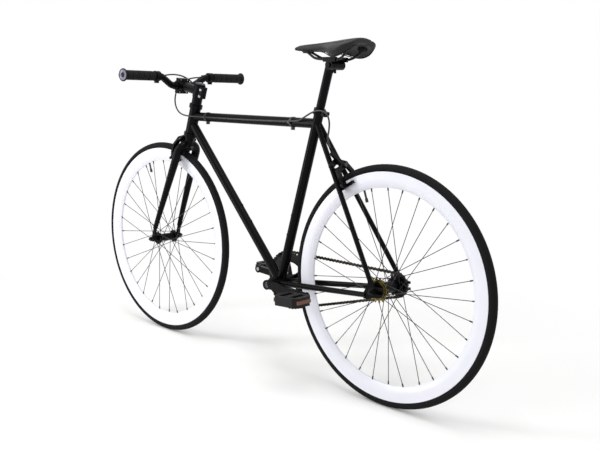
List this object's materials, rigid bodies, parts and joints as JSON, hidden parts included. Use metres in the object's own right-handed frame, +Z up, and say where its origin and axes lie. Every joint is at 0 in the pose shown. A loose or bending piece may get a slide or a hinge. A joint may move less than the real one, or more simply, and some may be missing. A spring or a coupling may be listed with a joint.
{
  "type": "fixed gear bicycle",
  "caption": "Single speed fixed gear road bicycle: black diamond frame, flat raised bar, deep white rims, calliper brakes, chain drive on the right and a spare freewheel on the left.",
  "frame": {"origin": "on the ground, midway between the two axles, in the frame's middle plane", "axes": "+X forward, +Y to the rider's left, +Z up"},
  "size_m": [1.6659, 0.4998, 1.003],
  "materials": {
    "frame_paint": "satin black powder coat",
    "black_alloy": "satin black anodised",
    "black_steel": "black oxide",
    "bright_steel": "zinc plated",
    "gold_freewheel": "dull gold plated",
    "chain_steel": "dark oiled steel",
    "white_rim": "gloss white paint",
    "spoke_black": "black painted",
    "tyre_rubber": "matt black",
    "tube_rubber": "matt black",
    "grip_rubber": "ribbed black",
    "cable_casing": "smooth black",
    "pedal_plastic": "moulded black",
    "reflector": "amber prismatic",
    "saddle_cover": "smooth black"
  },
  "bodies": {
    "frame": {"head_tube": "frame_paint", "top_tube": "frame_paint", "down_tube": "frame_paint", "seat_tube": "frame_paint", "bottom_bracket_shell": "frame_paint", "chainstays": "frame_paint", "seatstays": "frame_paint", "bridges_and_bosses": "frame_paint", "headset": "black_alloy", "seat_collar": "black_alloy", "bottom_bracket_cups": "black_alloy", "rear_axle": "black_steel", "cable_clips": "cable_casing", "rear_brake_mount": "bright_steel", "rear_brake_cable": "cable_casing", "rear_cable_loop": "cable_casing", "chain": "chain_steel"},
    "steering": {"fork_steerer": "frame_paint", "fork_blades": "frame_paint", "headset_spacers": "black_alloy", "stem": "black_alloy", "stem_faceplate": "black_alloy", "stem_bolts": "bright_steel", "handlebar": "black_alloy", "grips": "grip_rubber", "lever_clamps": "black_alloy", "front_brake_cable": "cable_casing", "front_brake_mount": "bright_steel", "front_axle": "black_steel"},
    "front_wheel": {"front_tyre": "tyre_rubber", "front_inner_tube": "tube_rubber", "front_rim": "white_rim", "front_hub": "black_alloy", "front_spokes": "spoke_black"},
    "rear_wheel": {"rear_tyre": "tyre_rubber", "rear_inner_tube": "tube_rubber", "rear_rim": "white_rim", "rear_hub": "black_alloy", "rear_spokes": "spoke_black", "fixed_cog": "black_steel", "freewheel_core": "black_steel"},
    "freewheel": {"freewheel": "gold_freewheel"},
    "crankset": {"spindle_and_pedal_axles": "bright_steel", "crank_arms": "black_alloy", "chainring": "black_steel", "crank_bolts": "bright_steel"},
    "left_pedal": {"left_pedal": "pedal_plastic", "left_pedal_reflectors": "reflector"},
    "right_pedal": {"right_pedal": "pedal_plastic", "right_pedal_reflectors": "reflector"},
    "seatpost": {"seatpost": "black_alloy"},
    "saddle": {"saddle_clamp": "black_alloy", "saddle_rails": "black_steel", "saddle": "saddle_cover"},
    "left_brake_lever": {"left_brake_lever": "black_alloy"},
    "right_brake_lever": {"right_brake_lever": "black_alloy"},
    "front_brake_right_arm": {"front_brake_right_arm": "black_alloy"},
    "front_brake_left_arm": {"front_brake_left_arm": "black_alloy"},
    "rear_brake_left_arm": {"rear_brake_left_arm": "black_alloy"},
    "rear_brake_right_arm": {"rear_brake_right_arm": "black_alloy"}
  },
  "joints": [
    {"name": "steer", "type": "hinge", "parent": "frame", "child": "steering", "pos_m": [0.34211, 0, 0.75408], "axis": [-0.3007, 0, 0.9537], "range_deg": [-60, 60], "deforming": ["rear_cable_loop"]},
    {"name": "front_wheel_spin", "type": "hinge", "parent": "steering", "child": "front_wheel", "pos_m": [0.497, 0, 0.336], "axis": [0, 1, 0], "continuous": true},
    {"name": "rear_wheel_spin", "type": "hinge", "parent": "frame", "child": "rear_wheel", "pos_m": [-0.497, 0, 0.336], "axis": [0, 1, 0], "continuous": true, "deforming": ["chain"]},
    {"name": "freewheel_spin", "type": "hinge", "parent": "rear_wheel", "child": "freewheel", "pos_m": [-0.497, 0, 0.336], "axis": [0, 1, 0], "continuous": true},
    {"name": "crank_spin", "type": "hinge", "parent": "frame", "child": "crankset", "pos_m": [-0.08591, 0, 0.2775], "axis": [0, 1, 0], "continuous": true, "deforming": ["chain"]},
    {"name": "left_pedal_spin", "type": "hinge", "parent": "crankset", "child": "left_pedal", "pos_m": [-0.25085, 0.119, 0.27318], "axis": [0, 1, 0], "continuous": true},
    {"name": "right_pedal_spin", "type": "hinge", "parent": "crankset", "child": "right_pedal", "pos_m": [0.07903, -0.119, 0.28182], "axis": [0, 1, 0], "continuous": true},
    {"name": "seatpost_slide", "type": "slide", "parent": "frame", "child": "seatpost", "axis": [-0.2639, 0, 0.9646], "range_m": [-0.07, 0.06]},
    {"name": "saddle_tilt", "type": "hinge", "parent": "seatpost", "child": "saddle", "pos_m": [-0.28432, 0, 0.931], "axis": [0, 1, 0], "range_deg": [-8, 8]},
    {"name": "left_lever_pull", "type": "hinge", "parent": "steering", "child": "left_brake_lever", "pos_m": [0.42043, 0.11604, 0.89656], "axis": [0, 0, 1], "range_deg": [0, 16], "stiffness_Nm_per_rad": 1.5, "springref_deg": -11.46},
    {"name": "right_lever_pull", "type": "hinge", "parent": "steering", "child": "right_brake_lever", "pos_m": [0.42043, -0.11604, 0.89656], "axis": [0, 0, -1], "range_deg": [0, 16], "stiffness_Nm_per_rad": 1.5, "springref_deg": -11.46},
    {"name": "front_brake_right_arm_swing", "type": "hinge", "parent": "steering", "child": "front_brake_right_arm", "pos_m": [0.38432, 0, 0.67729], "axis": [0.9335, 0, 0.3586], "range_deg": [0, 2], "deforming": ["front_brake_cable"]},
    {"name": "front_brake_left_arm_swing", "type": "hinge", "parent": "steering", "child": "front_brake_left_arm", "pos_m": [0.38002, 0.022, 0.68849], "axis": [-0.9335, 0, -0.3586], "range_deg": [0, 1.7], "deforming": ["front_brake_cable"]},
    {"name": "rear_brake_left_arm_swing", "type": "hinge", "parent": "frame", "child": "rear_brake_left_arm", "pos_m": [-0.31258, 0, 0.6441], "axis": [-0.847, 0, 0.5316], "range_deg": [0, 2], "deforming": ["rear_brake_cable"]},
    {"name": "rear_brake_right_arm_swing", "type": "hinge", "parent": "frame", "child": "rear_brake_right_arm", "pos_m": [-0.3062, -0.022, 0.65427], "axis": [0.847, 0, -0.5316], "range_deg": [0, 1.7], "deforming": ["rear_brake_cable"]}
  ],
  "couplings": [
    {"joint": "crank_spin", "follows": "rear_wheel_spin", "ratio": 0.36364},
    {"joint": "front_brake_right_arm_swing", "follows": "left_lever_pull", "ratio": 0.12},
    {"joint": "front_brake_left_arm_swing", "follows": "left_lever_pull", "ratio": 0.1},
    {"joint": "rear_brake_left_arm_swing", "follows": "right_lever_pull", "ratio": 0.12},
    {"joint": "rear_brake_right_arm_swing", "follows": "right_lever_pull", "ratio": 0.1}
  ]
}
